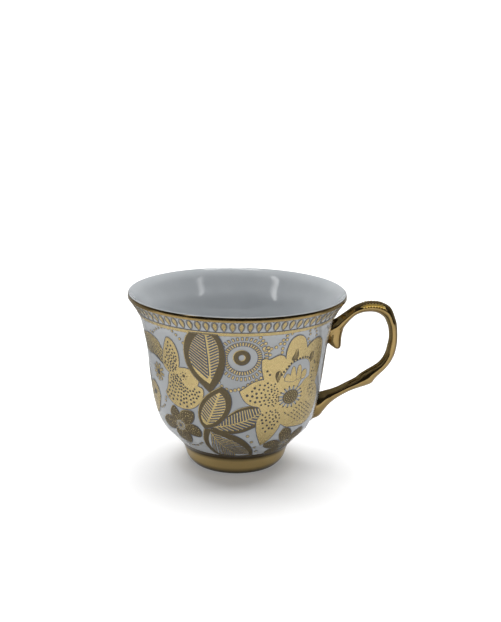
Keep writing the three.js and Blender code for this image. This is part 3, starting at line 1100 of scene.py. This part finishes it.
# ---------------------------------------------------------------- handle
# The handle's rungs as (x, z) on its outer side, (x, z) on its inner side, and half its width.
# Here x is measured from the cup's axis.
LOOP = [
    (37.9, 61.6, 37.6, 51.6, 3.5), (39.2, 61.2, 39.6, 53.6, 3.3), (40.6, 61.7, 43.2, 56.2, 3.05),
    (42.6, 63.1, 45, 58.6, 3), (45.6, 65.3, 47.2, 61.4, 3), (48, 67.1, 49.5, 63.4, 3),
    (50.7, 68.4, 52.2, 64.5, 3.05), (54, 69.3, 54.9, 64.8, 3.1), (56.8, 69.4, 57, 64.7, 3.15),
    (59.2, 69.2, 58.6, 64.2, 3.15), (61.7, 68.2, 59.8, 63.5, 3.1), (63.4, 67, 60.9, 62.6, 3.05),
    (64.5, 65.4, 61.6, 61.6, 3), (65.4, 63.2, 62.2, 60.2, 2.95), (66.5, 60, 62.9, 58.4, 2.9),
    (66.95, 56.4, 63.3, 55.6, 2.85), (67.1, 52.8, 63.3, 53, 2.8), (66.85, 49.6, 62.8, 50.2, 2.8),
    (66.15, 46.3, 62.2, 47.5, 2.8), (64.65, 43, 61, 44.9, 2.8), (62.6, 40.1, 59.4, 42.9, 2.8),
    (60.1, 37.5, 57.2, 41.3, 2.8), (58.4, 35.6, 55.4, 40.2, 2.85), (57.2, 33.8, 53.6, 39, 2.9),
    (55, 32.7, 52, 37.9, 2.9), (52.3, 31.8, 50, 36.1, 2.85), (48.8, 30.5, 46.2, 34, 2.8),
    (45.4, 28.7, 42.8, 32.1, 2.8), (42, 26.4, 40, 31, 2.85), (39.3, 23.9, 37.5, 30.3, 2.95),
    (37.2, 21.2, 35.9, 29.8, 3.1), (35.2, 18.6, 34.2, 29.4, 3.35), (31.5, 16.9, 32.2, 29.2, 3.6),
]
SPUR = [
    (37.6, 60.4, 45, 60.2, 2.5), (37.4, 57.6, 44.4, 57.4, 2.9), (37.3, 55, 43.8, 54.6, 2.95),
    (37.3, 52.8, 43.6, 52.2, 2.8), (38.4, 50.9, 43.6, 50.4, 2.4), (39.9, 49.6, 43.3, 49.2, 1.7),
    (41.2, 48.7, 42.7, 48.6, 0.8),
]
LOZENGE, SOFT_SQUARE = 1.6, 2.4
SECTION_STEPS = 48
SKIN_VOXEL = 0.24
SLIP_LIFT = 1.0


def squared(turn, power):
    """Cosine and sine on a superellipse. Below 2 it is like a lozenge and above 2 like a square."""
    return [math.copysign(abs(v) ** (2 / power), v) for v in (math.cos(turn), math.sin(turn))]


def section_point(rung, turn):
    """A point of the lozenge-like section across a rung: 0 is on its outer side, and a quarter turn
    on is on the front of the handle."""
    outer_x, outer_z, inner_x, inner_z, half_width = rung
    out, front = squared(turn, LOZENGE)
    x = (outer_x + inner_x) / 2 + (outer_x - inner_x) / 2 * out
    z = (outer_z + inner_z) / 2 + (outer_z - inner_z) / 2 * out
    return Vector((AXIS_X + x, -half_width * front, z)) * MM


def lofted(name, rungs, material):
    """A closed solid with a lozenge section swept through rungs, capped at its ends."""
    rungs = smooth_line(rungs, 0.6)
    vertices = [section_point(rung, turn) for rung in rungs for turn in turns(SECTION_STEPS)]
    return make_object(name, vertices, capped_tube(len(rungs), SECTION_STEPS), material)


def melted(name, things):
    """Several overlapping solids as one smooth skin, as slip and glaze leave it."""
    joined = make_object(name, [], [], things[0].data.materials[0])
    vertices, faces = [], []
    for thing in things:
        start = len(vertices)
        vertices += [tuple(v.co) for v in thing.data.vertices]
        faces += [tuple(start + k for k in p.vertices) for p in thing.data.polygons]
        bpy.data.objects.remove(thing)
    joined.data.clear_geometry()
    joined.data.from_pydata(vertices, [], faces)
    skin_over = joined.modifiers.new("skin", "REMESH")
    skin_over.mode = "VOXEL"
    skin_over.voxel_size = SKIN_VOXEL * MM
    skin_over.use_smooth_shade = True
    soften = joined.modifiers.new("soften", "SMOOTH")
    soften.factor = 0.5
    soften.iterations = 8
    shown = joined.evaluated_get(bpy.context.evaluated_depsgraph_get())
    joined.data = bpy.data.meshes.new_from_object(shown)
    joined.modifiers.clear()
    joined.data.polygons.foreach_set("use_smooth", [True] * len(joined.data.polygons))
    return joined


def rope_moulding(name, side):
    """A fine twisted moulding along one shoulder of the handle's top, thinning out at both ends."""
    first, last = 6, 11
    rungs = smooth_line(LOOP[first:last], 0.09)
    shoulder = math.radians(60) * side
    path = [section_point(rung, shoulder) for rung in rungs]
    run = np.concatenate([[0], np.cumsum([(b - a).length for a, b in zip(path, path[1:])])]) / MM
    thick, pitch, strands, lobe_depth, tail, sides = 0.68, 1.2, 2, 0.46, 1.6, 16
    vertices = []
    for k, (point, s) in enumerate(zip(path, run)):
        ahead = (path[min(k + 1, len(path) - 1)] - path[max(k - 1, 0)]).normalized()
        across = ahead.cross(Vector((0, 1, 0))).normalized()
        other = ahead.cross(across)
        size = thick * min(1, math.sqrt(max(0.02, min(s, run[-1] - s) / tail)))
        for turn in turns(sides):
            lobe = 1 + lobe_depth * math.cos(strands * turn - math.tau * s / pitch)
            vertices.append(point + (across * math.cos(turn) + other * math.sin(turn)) * size * lobe * MM)
    place(make_object(name, vertices, capped_tube(len(path), sides), highlighted_strand_gilt), "bright_gilding")


def slip_collar(name, node, low, high, half_width):
    """The fillet of slip that seats a handle root on the wall, between two heights."""
    centre = (90.0, (down_at(low) + down_at(high)) / 2)
    half_height = (down_at(low) - down_at(high)) / 2
    sides, lift = 96, SLIP_LIFT
    profile = [(-0.9, PrintLayer.FOOTING), (-0.9, lift), (-0.45, 0.62 * lift), (0, 0.33 * lift),
               (0.5, 0.13 * lift), (1, 0.03), (1.25, PrintLayer.FOOTING)]
    vertices = []
    for out, rise in profile:
        ring = []
        for turn in turns(sides):
            right, down = squared(turn, SOFT_SQUARE)
            ring.append(beside(centre, right * (half_width + out), down * (half_height + out)))
        vertices.append(on_wall(ring, rise))
    faces = quads_around(len(profile), sides, joined=True)
    place(make_object(name, np.vstack(vertices), faces, gold), "gilded_slip", node)


def build_handle():
    """The gilded handle with its spur, its rope mouldings and the slip at both roots."""
    loop = lofted("handle_loop", LOOP, gold)
    spur = lofted("handle_spur", SPUR, gold)
    place(melted("handle_body", [loop, spur]), "bright_gilding", "handle")
    rope_moulding("rope_moulding_front", 1)
    rope_moulding("rope_moulding_back", -1)
    slip_collar("upper_slip_collar", "upper_slip_bead", 50.6, 62.4, 3.2)
    slip_collar("lower_slip_collar", "lower_slip_bead", 16.2, 28.8, 3.3)


build_handle()


# ---------------------------------------------------------------- studio
TABLE_GLOW = 0.2
FADE_START, FADE_END = -0.1, 0.1
FADED_FLOOR = (0.25, 0.25, 0.25, 1)
FLOOR_GAP = 0.0001


def dim_in_mirrors(paint):
    """Lets the floor fade to dark behind the cup, but only where gold and glaze mirror it."""
    tree = paint.node_tree
    rays = tree.nodes.new("ShaderNodeLightPath")
    fade = along_axis(tree, "Object", "Y", FADE_START, FADE_END)
    amount = tree.nodes.new("ShaderNodeMath")
    amount.operation = "MULTIPLY"
    dark = tree.nodes.new("ShaderNodeBsdfDiffuse")
    dark.inputs["Color"].default_value = FADED_FLOOR
    mix = tree.nodes.new("ShaderNodeMixShader")
    tree.links.new(fade, amount.inputs[0])
    tree.links.new(rays.outputs["Is Glossy Ray"], amount.inputs[1])
    tree.links.new(amount.outputs["Value"], mix.inputs["Fac"])
    tree.links.new(tree.nodes["Principled BSDF"].outputs["BSDF"], mix.inputs[1])
    tree.links.new(dark.outputs["BSDF"], mix.inputs[2])
    tree.links.new(mix.outputs["Shader"], tree.nodes["Material Output"].inputs["Surface"])


def build_stage():
    """A pale floor that sweeps up into a backdrop behind the cup. The backdrop isn't mirrored."""
    paint = new_material("studio_paint", (0.78, 0.78, 0.78), 0.8, specular=0.1)
    shader = paint.node_tree.nodes["Principled BSDF"]
    shader.inputs["Emission Color"].default_value = (1, 1, 1, 1)
    shader.inputs["Emission Strength"].default_value = TABLE_GLOW
    mottle(paint, add_noise(paint, 60), (0.775, 0.775, 0.778), (0.785, 0.785, 0.785))
    dim_in_mirrors(paint)
    near, far, sweep, half_width, top = -1.6, 0.9, 0.35, 2.2, 1.6
    line = [(near, 0.0), (far - sweep, 0.0)]
    for angle in np.linspace(0.1, math.pi / 2, 16):
        line.append((far - sweep + sweep * math.sin(angle), sweep - sweep * math.cos(angle)))
    line.append((far, top))
    vertices = [(side * half_width, y, z - FLOOR_GAP) for side in (-1, 1) for y, z in line]
    faces = [(k, len(line) + k, len(line) + k + 1, k + 1) for k in range(len(line) - 1)]
    floor = make_object("studio_floor", vertices, faces[:1], paint)
    backdrop = make_object("studio_backdrop", vertices, faces[1:], paint)
    backdrop.visible_glossy = False


def add_light(name, place_at, aim_at, size, watts, mirrored=True):
    """A soft oval panel of light, which gold and glaze may or may not mirror."""
    light = bpy.data.lights.new(name, "AREA")
    light.shape = "ELLIPSE"
    light.size, light.size_y = size
    light.energy = watts
    lamp = bpy.data.objects.new(name, light)
    lamp.location = place_at
    lamp.visible_glossy = mirrored
    lamp.rotation_euler = (Vector(aim_at) - Vector(place_at)).to_track_quat("-Z", "Y").to_euler()
    bpy.context.scene.collection.objects.link(lamp)


def build_world():
    """Soft surroundings, brighter behind the cup than in front. Seen directly, they are pale grey."""
    world = bpy.data.worlds.new("soft_studio")
    bpy.context.scene.world = world
    world.use_nodes = True
    nodes, links = world.node_tree.nodes, world.node_tree.links
    output = nodes["World Output"]
    shade = along_axis(world.node_tree, "Generated", "Y", -0.3, 0.7, results=(0.03, 0.3))
    soft = nodes["Background"]
    links.new(shade, soft.inputs["Strength"])
    soft.inputs["Color"].default_value = (1, 1, 1, 1)
    plain = nodes.new("ShaderNodeBackground")
    plain.inputs["Color"].default_value = (0.9, 0.9, 0.9, 1)
    seen = nodes.new("ShaderNodeLightPath")
    mix = nodes.new("ShaderNodeMixShader")
    links.new(seen.outputs["Is Camera Ray"], mix.inputs["Fac"])
    links.new(soft.outputs["Background"], mix.inputs[1])
    links.new(plain.outputs["Background"], mix.inputs[2])
    links.new(mix.outputs["Shader"], output.inputs["Surface"])


CAMERA_DISTANCE = 379.81
CAMERA_HEIGHT = 162.64
CAMERA_LENS = 54.8
LOOK_DOWN, LOOK_RIGHT, LOOK_HIGHER, ROLL = 18.34, 0.80, 3.85, 0.64


def swing(first, second, degrees):
    """Two square directions turned together, the first towards the second."""
    angle = math.radians(degrees)
    return (
        first * math.cos(angle) + second * math.sin(angle),
        second * math.cos(angle) - first * math.sin(angle),
    )


def build_camera():
    """The camera at the photograph's angle, in front of the cup."""
    forward, up = swing(Vector((0, 1, 0)), Vector((0, 0, 1)), -LOOK_DOWN)
    forward, right = swing(forward, Vector((1, 0, 0)), LOOK_RIGHT)
    up = right.cross(forward)
    forward, up = swing(forward, up, LOOK_HIGHER)
    right, up = swing(right, up, ROLL)
    camera = bpy.data.cameras.new("camera")
    camera.lens = CAMERA_LENS
    camera.sensor_width = 36
    camera.clip_start = 0.01
    seat = bpy.data.objects.new("camera", camera)
    turn = Matrix((right, up, -forward)).transposed().to_4x4()
    seat.matrix_world = Matrix.Translation(Vector((AXIS_X, -CAMERA_DISTANCE, CAMERA_HEIGHT)) * MM) @ turn
    bpy.context.scene.collection.objects.link(seat)
    bpy.context.scene.camera = seat


build_stage()
build_world()
build_camera()
add_light("overhead_light", (0.0, 0.3, 1.1), (0, 0.25, 0), (1.8, 1.1), 24.5, mirrored=False)
add_light("strip_light", (0.05, -0.15, 0.9), (0.03, 0, 0.05), (0.6, 0.09), 0.8)
add_light("left_light", (-0.93, -0.72, 0.85), (0, 0, 0.05), (0.2, 0.8), 1.35)
add_light("right_light", (0.93, -0.72, 0.85), (0, 0, 0.05), (0.12, 0.5), 0.4)
bpy.context.scene.view_settings.view_transform = "Standard"
